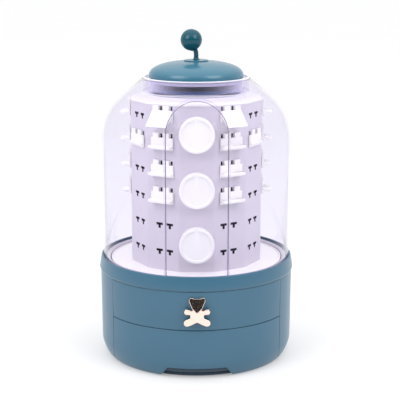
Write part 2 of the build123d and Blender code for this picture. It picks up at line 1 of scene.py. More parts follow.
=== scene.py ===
# %% [markdown]
# # A rotating jewelry box
#
# The real object is a round box about a third of a metre tall. A teal base holds two
# drawers. On it stands a clear dome, and inside the dome a lavender tower of hooks and
# round dishes turns by hand. A teal lid with a ball knob closes a small well in the top.
#
# The solid model is loaded from model.glb. Each visible piece of the solid model is then replaced by one
# that is modelled more finely, and the pieces nobody sees closely keep their solid.

# %% Load the solid model
import json
from math import acos, cos, pi, radians, sin, tan

import bmesh
import bpy
from mathutils import Matrix, Vector


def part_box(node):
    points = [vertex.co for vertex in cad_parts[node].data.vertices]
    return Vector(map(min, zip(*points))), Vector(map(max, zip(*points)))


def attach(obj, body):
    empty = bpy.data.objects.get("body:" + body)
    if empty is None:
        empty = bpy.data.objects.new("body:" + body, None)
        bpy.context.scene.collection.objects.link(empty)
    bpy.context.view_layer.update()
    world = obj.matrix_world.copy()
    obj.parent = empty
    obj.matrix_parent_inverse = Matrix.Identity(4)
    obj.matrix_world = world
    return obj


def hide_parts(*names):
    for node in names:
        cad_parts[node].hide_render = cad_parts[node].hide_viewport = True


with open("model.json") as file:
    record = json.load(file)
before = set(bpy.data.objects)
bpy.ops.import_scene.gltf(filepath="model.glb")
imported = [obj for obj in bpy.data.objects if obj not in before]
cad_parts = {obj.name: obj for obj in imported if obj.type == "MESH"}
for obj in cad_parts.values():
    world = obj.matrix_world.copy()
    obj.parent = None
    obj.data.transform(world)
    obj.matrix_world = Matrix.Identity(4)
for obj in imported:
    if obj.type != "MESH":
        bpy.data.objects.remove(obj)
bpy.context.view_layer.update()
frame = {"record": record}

mm = 0.001

# %% [markdown]
# ## Working by hand, in code
#
# Every piece is modelled with the operators that the menus use. An operator works on
# whatever is selected, so each step starts from an empty selection. These three helpers
# clear the selection, pick a piece, and open it for editing.

# %% Selecting
def let_go():
    """Leave edit mode and select nothing."""
    if bpy.context.object and bpy.context.object.mode != "OBJECT":
        bpy.ops.object.mode_set(mode="OBJECT")
    bpy.ops.object.select_all(action="DESELECT")


def take(piece):
    """Select one piece and make it the active one."""
    let_go()
    piece.select_set(True)
    bpy.context.view_layer.objects.active = piece


def edit(piece, pick="ALL"):
    """Go into edit mode with everything or nothing selected."""
    take(piece)
    bpy.ops.object.mode_set(mode="EDIT")
    bpy.ops.mesh.select_mode(type="VERT")
    bpy.ops.mesh.select_all(action="SELECT" if pick == "ALL" else "DESELECT")


print("helpers for selecting are ready")

# %% [markdown]
# ## Turning on a lathe
#
# Most of this object is round: the base, the collar, the dome, the lid. Such a piece is
# drawn as half of its cross-section and spun round the Z axis. The outline starts as a
# mesh circle with one vertex for each point, because a circle is already a closed loop.
# Corners of the outline are rounded first, so that the edges of the piece catch light as
# moulded edges do.

# %% Lathe
def arc_corner(before, corner, after, radius, count=5):
    """Replace a corner of an outline by an arc of a few points."""
    here, one, two = Vector(corner), Vector(before), Vector(after)
    first, second = (one - here).normalized(), (two - here).normalized()
    angle = first.angle(second)
    reach = min(radius / tan(angle / 2), (one - here).length * 0.49, (two - here).length * 0.49)
    radius = reach * tan(angle / 2)
    middle = here + (first + second).normalized() * radius / sin(angle / 2)
    start, end = here + first * reach - middle, here + second * reach - middle
    sweep = start.angle(end)
    points = []
    for step in range(count + 1):
        share = step / count
        arm = (start * sin((1 - share) * sweep) + end * sin(share * sweep)) / sin(sweep)
        points.append(tuple(middle + arm))
    return points


def rounded(outline):
    """Outline of (x, y) or (x, y, rounding) points with its corners rounded."""
    points = []
    for index, point in enumerate(outline):
        if len(point) == 2 or point[2] == 0:
            points.append(point[:2])
            continue
        before, after = outline[index - 1], outline[(index + 1) % len(outline)]
        points += arc_corner(before[:2], point[:2], after[:2], point[2])
    return points


def loop(name, points):
    """A closed loop of edges in the XZ plane, from points in millimetres."""
    let_go()
    bpy.ops.mesh.primitive_circle_add(vertices=len(points), radius=mm)
    piece = bpy.context.object
    piece.name = name
    for vertex, (x, z) in zip(piece.data.vertices, points):
        vertex.co = (x * mm, 0, z * mm)
    return piece


def weld(piece, reach=2e-6):
    """Merge doubles and turn all faces outwards."""
    edit(piece)
    bpy.ops.mesh.remove_doubles(threshold=reach)
    bpy.ops.mesh.normals_make_consistent(inside=False)
    let_go()


def lathe(name, outline, steps=180, turn=2 * pi, start=0):
    """Spin an outline of (radius, height) points round Z."""
    piece = loop(name, rounded(outline))
    if start:
        for vertex in piece.data.vertices:
            vertex.co = Matrix.Rotation(start, 3, "Z") @ vertex.co
    edit(piece)
    if turn < 2 * pi:
        bpy.ops.mesh.edge_face_add()
    bpy.ops.mesh.spin(steps=steps, angle=turn, center=(0, 0, 0), axis=(0, 0, 1))
    weld(piece)
    return piece


def plate(name, points, depth):
    """A flat outline in the XZ plane, filled and extruded along +Y."""
    piece = loop(name, points)
    edit(piece)
    bpy.ops.mesh.edge_face_add()
    bpy.ops.mesh.extrude_region_move(TRANSFORM_OT_translate={"value": (0, depth * mm, 0)})
    weld(piece)
    return piece


print("lathe and plates are ready")

# %% [markdown]
# ## Cutting and finishing
#
# A hand saw and a file come next. `trim` bisects a piece with a plane and closes the cut, `cut` subtracts
# one piece from another with a Boolean modifier, and `file_edges` bevels only the sharp edges.
# `hand_over` is the last step for every piece: it puts the object's origin at the world's origin, hides
# the plain solid that the piece stands for, and lets it ride on a moving body of the solid model.

# %% Cutting and finishing
def apply_all(piece):
    """Apply every modifier of a piece, in order."""
    take(piece)
    for modifier in list(piece.modifiers):
        bpy.ops.object.modifier_apply(modifier=modifier.name)


def trim(piece, point, towards):
    """Cut off what lies beyond a plane, on the side it looks to, and close the cut."""
    edit(piece)
    place = [value * mm for value in point]
    bpy.ops.mesh.bisect(plane_co=place, plane_no=towards, use_fill=True, clear_outer=True)
    let_go()


def cut(piece, cutter, how="DIFFERENCE"):
    """Subtract, join or intersect with another piece, which is used up."""
    modifier = piece.modifiers.new("cut", "BOOLEAN")
    modifier.operation, modifier.solver, modifier.object = how, "EXACT", cutter
    modifier.material_mode = "TRANSFER"
    apply_all(piece)
    bpy.data.objects.remove(cutter)
    return piece


def file_edges(piece, width, segments=2, angle=40, finish=-1, clamp=True):
    """Bevel the edges that are sharper than an angle, to a width in millimetres.

    The new faces keep the finish of their neighbours, or get the one with index finish.
    """
    modifier = piece.modifiers.new("filed edges", "BEVEL")
    modifier.width, modifier.segments = width * mm, segments
    modifier.limit_method, modifier.angle_limit = "ANGLE", radians(angle)
    modifier.use_clamp_overlap, modifier.material = clamp, finish
    apply_all(piece)
    return piece


def move(piece, by=(0, 0, 0), about_z=0.0):
    """Turn a piece's mesh about Z, then shift it, in millimetres."""
    shift = Matrix.Translation(Vector(by) * mm)
    piece.data.transform(shift @ Matrix.Rotation(about_z, 4, "Z"))
    return piece


def copy_of(piece, about_z=0.0, by=(0, 0, 0), name=None):
    """A copy with its own mesh, turned about Z and shifted."""
    take(piece)
    bpy.ops.object.duplicate()
    twin = bpy.context.object
    twin.name = name or piece.name
    return move(twin, by, about_z)


def join(pieces, name):
    """Join pieces into one object."""
    let_go()
    for piece in pieces:
        piece.select_set(True)
    bpy.context.view_layer.objects.active = pieces[0]
    bpy.ops.object.join()
    pieces[0].name = name
    return pieces[0]


def hand_over(piece, body, replaced, smooth=35):
    """Finish a piece: origin, smooth shading, body and the solid it stands for."""
    take(piece)
    bpy.ops.object.transform_apply(location=True, rotation=True, scale=True)
    bpy.ops.object.shade_smooth_by_angle(angle=radians(smooth))
    let_go()
    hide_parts(*replaced)
    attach(piece, body)
    print(piece.name, len(piece.data.polygons), "faces, rides on", body)


print("cutting tools are ready")

# %% [markdown]
# ## Arithmetic on material sockets
#
# A procedural finish is a small sum: some noise, scaled, added to a base value. Written
# with nodes alone such a sum is hard to read, so `Signal` wraps a socket and lets Python
# write it, as in `0.3 + 0.1 * noise`. `Finish` is a material. Its method `node` adds any
# node with its settings and inputs, and its other methods are built on that one. Patterns
# read Object coordinates, so they keep their scale in metres on every piece.

# %% Signals and finishes
class Signal:
    """A value inside a material that Python can add, subtract, multiply and raise."""

    def __init__(self, finish, socket):
        self.finish, self.socket = finish, socket

    def math(self, operation, one, two):
        return self.finish.node("ShaderNodeMath", {"operation": operation}, [one, two])

    def __add__(self, other):
        return self.math("ADD", self, other)

    def __sub__(self, other):
        return self.math("SUBTRACT", self, other)

    def __rsub__(self, other):
        return self.math("SUBTRACT", other, self)

    def __mul__(self, other):
        return self.math("MULTIPLY", self, other)

    def __pow__(self, other):
        return self.math("POWER", self, other)

    __radd__ = __add__
    __rmul__ = __mul__


class Finish:
    """A material whose Principled shader is fed by a few procedural signals."""

    def __init__(self, name, **fixed):
        self.material = bpy.data.materials.new(name)
        self.material.use_nodes = True
        self.tree = self.material.node_tree
        self.shader = self.tree.nodes["Principled BSDF"]
        for key, value in fixed.items():
            self.shader.inputs[key.replace("_", " ")].default_value = value
        self.place = self.node("ShaderNodeTexCoord", output="Object")

    def node(self, kind, settings={}, inputs={}, output=0):
        """Add a node, set it up, feed its inputs, and return one of its outputs."""
        made = self.tree.nodes.new(kind)
        for key, value in settings.items():
            setattr(made, key, value)
        pairs = inputs.items() if isinstance(inputs, dict) else enumerate(inputs)
        for key, value in pairs:
            self.feed(made.inputs[key], value)
        return Signal(self, made.outputs[output])

    def feed(self, socket, value):
        """Link a signal to a socket, or set the socket to a plain value."""
        if isinstance(value, Signal):
            self.tree.links.new(value.socket, socket)
        else:
            socket.default_value = value

    def noise(self, scale, detail=2.0, roughness=0.5, stretch=(1, 1, 1)):
        """Soft noise with a number of lumps to the metre, from 0 to 1."""
        place = self.node("ShaderNodeMapping", {}, {"Vector": self.place, "Scale": stretch})
        return self.node("ShaderNodeTexNoise", {}, {
            "Vector": place, "Scale": scale, "Detail": detail, "Roughness": roughness}, output="Fac")

    def between(self, share, one, two):
        """A colour between two colours."""
        return self.node("ShaderNodeMix", {"data_type": "RGBA"}, {
            0: share, 6: (*one, 1), 7: (*two, 1)}, output=2)

    def paint(self, **signals):
        """Feed signals into the Principled shader."""
        for key, value in signals.items():
            self.feed(self.shader.inputs[key.replace("_", " ")], value)

    def bump(self, height, distance):
        """Use a height from 0 to 1 as relief of a depth in millimetres."""
        self.paint(Normal=self.node("ShaderNodeBump", {}, {
            "Strength": 1.0, "Distance": distance * mm, "Height": height}, output="Normal"))
        return self


def coat(piece, *finishes):
    """Give a piece its finishes, in the order of its material indices."""
    piece.data.materials.clear()
    for finish in finishes:
        piece.data.materials.append(finish.material)


print("signals and finishes are ready")

# %% [markdown]
# ## The finishes
#
# The teal parts are injection moulded and slightly glossy: an even colour with a very
# fine orange-peel relief, and a roughness that wanders a little where hands have been.
# The tower is the same plastic in lavender, the hooks and dishes are pearl white.

# %% Moulded plastics
def moulded(name, dark, light, rough, spread=0.05, peel=0.004, **fixed):
    """Glossy moulded plastic: two close tones, wandering roughness, fine orange peel."""
    finish = Finish(name, **fixed)
    cloud = finish.noise(9, 3)
    touch = finish.noise(38, 4, 0.6)
    finish.paint(Base_Color=finish.between(cloud, dark, light), Roughness=rough + spread * (touch - 0.5))
    return finish.bump(finish.noise(1400, 2), peel)


teal = moulded("teal_moulded_plastic", (0.042, 0.127, 0.200), (0.046, 0.137, 0.212), 0.28, 0.02,
               IOR=1.5)
lid_teal = moulded("teal_lid_plastic", (0.040, 0.150, 0.222), (0.046, 0.163, 0.240), 0.24, IOR=1.5)
knob_teal = moulded("teal_knob_enamel", (0.004, 0.068, 0.098), (0.006, 0.076, 0.108), 0.10, IOR=1.36)
lavender = moulded("lavender_plastic", (0.665, 0.63, 0.705), (0.70, 0.663, 0.735), 0.38, IOR=1.46)
pale_lavender = moulded("pale_turntable_plastic", (0.97, 0.96, 0.94), (0.98, 0.97, 0.95), 0.3)
# painted light: the cap is the tower's lavender painted paler, for the light that falls on it from above
cap_painted_light = moulded("pale_cap_plastic", (0.90, 0.88, 0.92), (0.92, 0.90, 0.94), 0.35)
# painted shade: a dark finish for the sides of the slots and the inside of the tower, where shade falls;
# the plastic itself is lavender
hollow_painted_shade = moulded("unlit_hollow_plastic", (0.030, 0.026, 0.042), (0.040, 0.035, 0.055), 0.7,
                      Specular_IOR_Level=0.1)
pearl = moulded("pearl_white_plastic", (0.945, 0.935, 0.92), (0.96, 0.95, 0.935), 0.26, IOR=1.48)
tray_blue = moulded("blue_tray_plastic", (0.060, 0.125, 0.175), (0.068, 0.138, 0.190), 0.5, peel=0.01)
navy = moulded("navy_recess_plastic", (0.042, 0.066, 0.098), (0.050, 0.076, 0.110), 0.5,
               Specular_IOR_Level=0.2)
slide_white = moulded("waxy_slide_plastic", (0.70, 0.70, 0.68), (0.76, 0.76, 0.74), 0.42)
rubber = moulded("foot_rubber", (0.016, 0.016, 0.017), (0.024, 0.024, 0.026), 0.8, 0.1, 0.02)
print("twelve plastics")

# %% [markdown]
# ## Clear acrylic
#
# Real refraction in a dome this size would blur and darken everything inside it. A thin clear wall is
# nearly invisible seen straight on and turns into a mirror where the eye grazes it. So the finish mixes a
# transparent shader with a polished one. The fifth power of the slant gives the share of polish: next to
# nothing straight on, all of it at the edge. Frosted plastic keeps more of its own colour from every
# side. So do the cut edges, but their colour is painted: dark as painted shade on the dome's edges, pale
# as painted highlight on the door's edges and the cup's rim. The transparent part is faintly lavender,
# because every surface takes a little green away.

# %% Clear acrylic
def acrylic(name, floor, gain, tint, gloss, edge=5.0, through=(0.957, 0.949, 0.979), metallic=0.0):
    """Clear plastic: transparent straight on, more of its own colour at the edge."""
    finish = Finish(name, Metallic=metallic, IOR=1.49)
    facing = finish.node("ShaderNodeLayerWeight", {}, {"Blend": 0.5}, output="Facing")
    smears = finish.noise(22, 3, 0.6)
    share = floor + gain * facing ** edge
    light = tuple(min(1, channel * 1.03) for channel in tint)
    finish.paint(Base_Color=finish.between(smears, tint, light), Roughness=gloss * (0.7 + 0.6 * smears))
    clear = finish.node("ShaderNodeBsdfTransparent", {}, {"Color": (*through, 1)})
    body = Signal(finish, finish.shader.outputs[0])
    both = finish.node("ShaderNodeMixShader", {}, [share, clear, body])
    finish.feed(finish.tree.nodes["Material Output"].inputs["Surface"], both)
    return finish


clear_wall = acrylic("clear_acrylic", 0.005, 0.99, (0.95, 0.94, 0.99), 0.04, metallic=1.0)
# painted shade: a dark, nearly opaque finish for the dark line along a cut edge of clear acrylic
edge_painted_shade = acrylic("acrylic_cut_edge", 0.80, 0.15, (0.17, 0.16, 0.21), 0.25, 1.0)
# painted highlight: a pale, nearly opaque finish for the white line of light along an edge of clear
# acrylic
edge_painted_highlight = acrylic("acrylic_pale_edge", 0.60, 0.3, (0.93, 0.92, 0.97), 0.2, 1.0)
frosted = acrylic("frosted_plastic", 0.62, 0.25, (0.72, 0.69, 0.86), 0.45, 1.0)
misty = acrylic("misty_plastic", 0.0, 1.0, (0.80, 0.78, 0.92), 0.4, 1.2)
print("five clear finishes")

# %% [markdown]
# ## Metal, steel and flock
#
# The pull is rose-gold plated: a mirror with small ripples from hand polishing. The
# screws and the pin are zinc-plated steel and hardly show. The liners and the pad in the
# well are flocked: short fibres that scatter light at the edge, which is what sheen does.

# %% Metal, steel and flock
rose_gold = Finish("rose_gold_plating", Metallic=1.0)
lines = rose_gold.noise(260, 3, 0.6, (1, 1, 7))
ripples = rose_gold.noise(420, 2)
rose_gold.paint(Base_Color=rose_gold.between(lines, (0.92, 0.70, 0.60), (0.96, 0.78, 0.69)),
                Roughness=0.05 + 0.06 * lines)
rose_gold.bump(0.1 * lines + 0.9 * ripples, 0.12)

zinc = Finish("zinc_steel", Metallic=1.0)
grain = zinc.noise(700, 3, 0.6, (1, 1, 5))
zinc.paint(Base_Color=zinc.between(grain, (0.42, 0.42, 0.41), (0.60, 0.60, 0.58)),
           Roughness=0.28 + 0.18 * grain)
zinc.bump(grain, 0.01)

flock = Finish("flocked_velvet", Sheen_Weight=0.7, Sheen_Roughness=0.45)
fibres = flock.noise(2600, 2, 0.7)
brushed = flock.noise(45, 3, 0.6)
flock.paint(Base_Color=flock.between(brushed, (0.100, 0.190, 0.340), (0.140, 0.250, 0.420)),
            Roughness=0.85 + 0.1 * fibres)
flock.bump(0.7 * fibres + 0.3 * brushed, 0.12)
print("metal, steel and flock")

# %% [markdown]
# ## Sizes that the pieces share
#
# Most of these come from the solid model: the levels where one piece ends and the next
# begins, and the two curves that the dome, the door and the arch are cut to. The tower
# alone is slimmer here, 66.0 instead of 67.9 mm from its axis to each face, because the
# photograph shows it so. All are written once here, in millimetres.

# %% Shared sizes
tower_foot, cap_foot, tower_top = 101.4, 266.2, 268.0
face_distance, faces, tower_wall = 66.0, 12, 2.2
row_gap, first_row = 26.8, tower_foot + 19.0
shoulder_level, shoulder_middle = 224.7, 39.0
collar_foot, dome_foot = 90.4, 98.2
arch_spring, arch_crown, arch_half = 242.4, 272.0, 29.6


def shell_section(outer, inner, foot, tip=54.05):
    """Cross-section of the dome's wall: straight side, round shoulder, straight cone."""
    points = []
    steep = radians(49)
    for radius, order in ((outer, 1), (inner, -1)):
        bend = radius - shoulder_middle
        arc = [(shoulder_middle + bend * cos(steep * k / 12),
                shoulder_level + bend * sin(steep * k / 12)) for k in range(13)]
        start, height = arc[-1]
        run = [(radius, foot)] + arc + [(tip, height + (start - tip) / tan(steep))]
        points += run[::order]
    return points


def arch_outline(border, foot, steps=40):
    """The arch of the opening, or the door's outline a border wider all round."""
    half, crown = arch_half + border, arch_crown + border
    points = [(half, foot), (half, arch_spring)]
    rise = crown - arch_spring
    for step in range(1, steps):
        angle = pi * step / steps
        points.append((half * cos(angle), arch_spring + rise * sin(angle)))
    return points + [(-half, arch_spring), (-half, foot)]


tower_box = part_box("tower_shell")
print("tower", [round(v / mm, 1) for v in tower_box[0]], "to", [round(v / mm, 1) for v in tower_box[1]])

# %% [markdown]
# ## The teal base
#
# The base is one moulding: a straight round wall that draws in softly at the foot. The
# curve of the foot is a superellipse, which is between an ellipse and a slope.
# Between the drawers' sides it is a thin wall, and beside them it is filled up to the
# mouth. It is turned as a thick ring on the lathe. A second, slightly smaller ring,
# trimmed to the width of the drawers, is subtracted for the tunnel, and a box for the
# mouth. The edges are filed a little, because a sharp edge would not catch the thin line
# of light that the photograph shows at each seam.

# %% Base shell
mouth_half, fine_steps = 84.3, 240


def block(name, low, high):
    """A box between two corners, in millimetres."""
    let_go()
    middle = [(a + b) / 2 * mm for a, b in zip(low, high)]
    size = [(b - a) * mm for a, b in zip(low, high)]
    bpy.ops.mesh.primitive_cube_add(size=1, location=middle)
    piece = bpy.context.object
    piece.name = name
    bpy.ops.transform.resize(value=size)
    bpy.ops.object.transform_apply(location=True, rotation=True, scale=True)
    return piece


def between_sides(piece, half):
    """Keep only what lies between two planes beside the middle."""
    trim(piece, (half, 0, 0), (1, 0, 0))
    trim(piece, (-half, 0, 0), (-1, 0, 0))
    return piece


def foot_curve(inset=0.0, steps=12):
    """The foot of an outline, from its flat underside up to the straight wall."""
    foot, wide, reach, height, power = 0.5 + inset, 98.7 - inset, 8.6, 18.0 - inset, 1.5
    points = []
    for step in range(steps + 1):
        angle = pi / 2 * step / steps
        points.append((wide - reach + reach * sin(angle) ** (2 / power),
                       foot + height - height * cos(angle) ** (2 / power)))
    return points


base = lathe("teal_base", [(82, 3.4), (87.6, 3.4), (87.6, 0.5)] + foot_curve() + [
    (99.297, collar_foot, 0.4), (95.45, collar_foot, 0.3), (95.45, 87.35), (82, 87.35)],
    steps=fine_steps)
tunnel = lathe("tunnel", [(60, 0), (82, 0)] + foot_curve(3.2) + [(96.07, 88), (60, 88)], steps=fine_steps)
cut(base, between_sides(tunnel, mouth_half))
cut(base, block("mouth", (-mouth_half, -110, -5), (mouth_half, 0, 100)))
file_edges(base, 0.3, 2, 60)
coat(base, teal)
hand_over(base, "base", ["base_shell"])

# %% [markdown]
# ## Drawer fronts
#
# Each front is a slice of the round wall, so both are turned through part of a circle
# and trimmed at the sides. Seams of 0.3 to 0.6 mm separate them from each other and from
# the base. The lower front has a scoop for the fingers, cut with a prism whose upper
# corners are rounded, and a navy pocket from the solid model sits behind it.

# %% Drawer fronts
front_half = 84.0


def curved_front(name, outline):
    """A slice of a turned wall, facing -Y, trimmed to the width of the drawers."""
    piece = lathe(name, outline, steps=120, turn=radians(124), start=radians(-28))
    return between_sides(piece, front_half)


lower_front = curved_front("lower_drawer_face", [(87.7, 0.5)] + foot_curve() + [
    (98.95, 50.9, 0.45), (96.35, 50.9, 0.2)] + foot_curve(2.6)[::-1])
scoop = plate("scoop", rounded([(-36.6, -1), (36.6, -1), (29.3, 11.4, 2.5), (-29.3, 11.4, 2.5)]), 40)
cut(lower_front, move(scoop, (0, -115, 0)))
file_edges(lower_front, 0.35, 2, 60)
coat(lower_front, teal)
hand_over(lower_front, "lower_drawer", ["lower_drawer_front"])

upper_front = curved_front("upper_drawer_face", [
    (96.36, 51.5, 0.2), (98.955, 51.5, 0.45), (99.295, 90.1, 0.45), (96.7, 90.1, 0.2)])
file_edges(upper_front, 0.35, 2, 60)
coat(upper_front, teal)
hand_over(upper_front, "upper_drawer", ["upper_drawer_front"])

# %% [markdown]
# ## Collar, track and turntable
#
# The collar carries the dome in a groove: it swells outwards just above the seam and
# draws in again towards its rim. The lavender ring inside it holds the door's track.
# The turntable is a plate with a small lip and a hub for the steel pin. All three are
# plain turning work, so their quality is in the outline and its small radii.

# %% Collar, track ring, turntable
collar = lathe("teal_collar", [
    (94.4, collar_foot), (99.3, collar_foot, 0.35), (100.49, 92.7, 2.3), (98.4, 105.2, 0.9),
    (96.6, 105.2, 0.35), (96.6, dome_foot), (94.4, dome_foot, 0.3)], steps=fine_steps)
coat(collar, teal)
hand_over(collar, "base", ["collar_ring"])

track = lathe("lavender_track", [
    (89.4, collar_foot), (94.2, collar_foot), (94.2, 99.2, 0.2), (92.4, 99.2, 0.2),
    (92.4, 104.0, 0.15), (92.0, 104.0, 0.15), (89.4, 102.4, 0.6)], steps=fine_steps)
coat(track, lavender)
hand_over(track, "base", ["track_ring"])

table = lathe("lavender_turntable", [
    (4.05, 93.6), (10, 93.6, 0.5), (10, 98.4, 1.0), (87.9, 98.4, 0.6), (87.9, 102.2, 0.5),
    (86.3, 102.2, 0.4), (86.3, 101.4, 0.3), (10, 101.4, 1.0), (10, 106.0, 0.6), (4.05, 106.0)],
    steps=fine_steps)
coat(table, pale_lavender)
hand_over(table, "tower", ["turntable"])

# %% [markdown]
# ## The clear dome
#
# The dome is moulded in one: straight walls, a round shoulder, and a straight cone that ends at the well.
# Its section is a thin closed strip, spun round the axis. The arched opening is an arch-shaped prism
# subtracted from the front. A cut edge of acrylic is milky, and the faces that this cut leaves get
# painted shade: a dark, nearly opaque finish for the dark line along the edge.

# %% Dome with its arched opening
def wall_of(name, outer, inner, foot):
    """A closed thin wall that follows the dome's curve at two radii."""
    return lathe(name, shell_section(outer, inner, foot), steps=fine_steps)


def arch_prism(name, border, foot):
    """The arch as a block that runs through the front wall."""
    return move(plate(name, arch_outline(border, foot), 75), (0, -118, 0))


dome = wall_of("clear_dome_shell", 96.4, 94.4, dome_foot)
coat(dome, clear_wall)
opening = arch_prism("opening", 0.0, 104.9)
coat(opening, edge_painted_shade)
cut(dome, opening)
# the filed edges of the dome get the painted shade as well
file_edges(dome, 0.9, 2, 60, finish=1, clamp=False)
hand_over(dome, "base", ["clear_dome"])
print("finishes on the dome:", [m.name for m in dome.data.materials])

# %% [markdown]
# ## The sliding door
#
# The door is a second, slightly smaller shell inside the first one, cut to the same arch
# with a border all round, so that it covers the opening when it is closed. It is the
# intersection of a turned wall and an arch-shaped prism.

# %% Door
door_foot, door_border = 99.6, 2.6
door = wall_of("clear_door", 94.0, 92.8, door_foot)
coat(door, clear_wall)
blank = arch_prism("door blank", door_border, door_foot)
# the door's cut and filed edges get the painted highlight
coat(blank, edge_painted_highlight)
cut(door, blank, "INTERSECT")
file_edges(door, 0.35, 2, 60, finish=1, clamp=False)
hand_over(door, "door", ["arch_door"])

# %% [markdown]
# ## The well in the top
#
# A clear cup hangs in the dome's mouth. A ring inside it carries the lid, frosted where the lid rests and
# misty below, and a round pad of flock lies on the cup's floor. The cup's rim and its lower edge are
# rounded, and there the wall gets a painted highlight: a pale, nearly opaque finish for the white line of
# light along them.

# %% Cup, ring and pad
cup_foot, cup_floor, cup_rim, cup_radius = 273.6, 275.6, 288.9, 54.0
cup = lathe("clear_cup", [
    (0, cup_foot), (cup_radius, cup_foot, 1.0), (cup_radius, cup_rim, 0.9),
    (52.0, cup_rim, 0.9), (52.0, cup_floor, 0.8), (0, cup_floor)])
coat(cup, clear_wall, edge_painted_highlight)
# faces at the cup's rim and at its lower edge get the painted highlight
rim_above, edge_below, edge_beyond = 288.0 * mm, 274.7 * mm, 52.9 * mm
for side in cup.data.polygons:
    at_rim = side.center.z > rim_above
    at_edge = side.center.z < edge_below and Vector(side.center[:2]).length > edge_beyond
    side.material_index = int(at_rim or at_edge)
hand_over(cup, "base", ["well_cup"])

frost_level = 283.2
ring = lathe("frosted_ring", [
    (45.3, cup_floor), (46.9, cup_floor), (46.9, frost_level), (46.9, 287.4, 0.6),
    (45.3, 287.4, 0.6), (45.3, frost_level)])
coat(ring, frosted, misty)
for side in ring.data.polygons:
    side.material_index = int(side.center.z < frost_level * mm)
hand_over(ring, "base", ["well_ring"])

pad_top = 277.6
pad = lathe("flocked_pad", [(0, cup_floor), (44.6, cup_floor), (44.6, pad_top, 0.8), (0, pad_top)])
coat(pad, flock)
hand_over(pad, "base", ["well_pad"])

# %% [markdown]
# ## The lid
#
# The lid is a low dome with a short upright edge. Its section is a superellipse, which
# has fuller shoulders than an ellipse. Points on it are close together near the edge,
# where it curves fast.

# %% Lid
lid_radius, lid_rise, lid_level, lid_wall, lid_power = 48.1, 15.6, 288.9, 2.0, 2.4
lid_foot = 287.5


def lid_height(radius, inset=0.0):
    """Height of the lid's surface at a distance from the axis."""
    share = min(1, radius / (lid_radius - inset))
    return lid_level + (lid_rise - inset) * (1 - share ** lid_power) ** (1 / lid_power)


def lid_curve(inset, steps, end=2.05):
    """Points on the lid's curve from its edge to the screw hole."""
    radius = lid_radius - inset
    last = acos(end / radius)
    arms = [radius * cos(last * k / steps) for k in range(steps + 1)]
    return [(arm, lid_height(arm, inset)) for arm in arms]


lid = lathe("teal_lid", [(lid_radius - lid_wall, lid_foot), (lid_radius, lid_foot, 0.7)]
            + lid_curve(0, 40) + lid_curve(lid_wall, 24)[::-1], steps=fine_steps)
coat(lid, lid_teal)
hand_over(lid, "lid", ["lid_shell"])

# %% [markdown]
# ## The knob
#
# A low disc on the lid carries a slim stem that starts upright, bends to the left and
# enters a ball. The stem is a circle that is extruded up, spun about an axis beside it
# for the bend, and extruded again. It flares at its foot. The ball is turned with a small
# neck and tilted with the end of the stem.

# %% Knob
flange_radius, flange_top, screw_hole = 12.3, 305.4, 2.05
flange = lathe("knob_disc", [
    (screw_hole, lid_height(2)), (7, lid_height(7)), (flange_radius, lid_height(flange_radius)),
    (12.6, 304.9, 0.25), (11.6, flange_top, 0.4), (screw_hole, flange_top)], steps=120)
coat(flange, lid_teal)
hand_over(flange, "lid", ["knob_flange"])

ball_middle, ball_radius, lean = (-4.9, 0, 325.3), 10.9, radians(17)


def bent_stem(name):
    """A flared foot, an upright run, a bend and a straight end, as one tube."""
    let_go()
    level, radius = 305.2, 4.4
    bpy.ops.mesh.primitive_circle_add(vertices=48, radius=radius * mm, location=(0, 0, level * mm))
    piece = bpy.context.object
    piece.name = name
    edit(piece)
    for height, wide in ((305.9, 3.5), (306.3, 2.95), (307.0, 2.6), (308.2, 2.42), (310.6, 2.36)):
        bpy.ops.mesh.extrude_region_move(
            TRANSFORM_OT_translate={"value": (0, 0, (height - level) * mm)})
        bpy.ops.transform.resize(value=(wide / radius, wide / radius, 1))
        level, radius = height, wide
    bpy.ops.mesh.spin(steps=12, angle=lean, center=(-12 * mm, 0, level * mm), axis=(0, 1, 0))
    reach = 2.6 * mm
    bpy.ops.mesh.extrude_region_move(
        TRANSFORM_OT_translate={"value": (-sin(lean) * reach, 0, cos(lean) * reach)})
    let_go()
    weld(piece)
    return piece


stem = bent_stem("knob_rod")
coat(stem, knob_teal)
hand_over(stem, "lid", ["knob_stem"])

profile = [(ball_radius * sin(pi * k / 36), -ball_radius * cos(pi * k / 36)) for k in range(4, 37)]
ball = lathe("knob_sphere", [(0, -10.2), (2.9, -11.0, 0.3)] + profile, steps=72)
ball.data.transform(Matrix.Translation(Vector(ball_middle) * mm) @ Matrix.Rotation(-lean, 4, "Y"))
coat(ball, knob_teal)
hand_over(ball, "lid", ["knob_ball"])

# %% [markdown]
# ## The twelve-sided tower
#
# The tower is a hollow prism with slightly rounded corners. Two T-shaped slots in every
# row of the ten side faces hold the hooks, and a hooked row has a small upright slit
# above each slot. One slot is modelled, copied to every place, joined with its copies,
# and subtracted from the wall in a single Boolean. The slots stop just short of the
# inside, or daylight would show through from the back, which the photograph doesn't have.
# Their sides and the inside of the wall get painted shade: a dark finish for the shade in there, on
# plastic that is lavender all through. The cap on top carries a raised disc, which nearly reaches the
# floor of the well, and both are painted paler than the tower as painted light from above.

# %% Tower wall
face_angle = radians(30)
hook_rows = {1: (2, 3, 4), 2: (4,), 3: (2, 3, 4, 5), 4: (4,), 5: (2, 3, 4),
             7: (2, 3, 4), 8: (4,), 9: (2, 3, 4, 5), 10: (4,), 11: (2, 3, 4)}
slope_faces, slope_row, rows = (1, 5, 7, 11), 5, 6
column_gap, column_shift, slit_shift = 11.8, 1.5, 2.6


def side_of(face):
    """The slots lean towards the front: +1 on the left faces, -1 on the right ones."""
    return 1 if face > 6 else -1


def columns(face):
    """The two slot positions along a face."""
    return [side_of(face) * column_shift + s * column_gap / 2 for s in (-1, 1)]


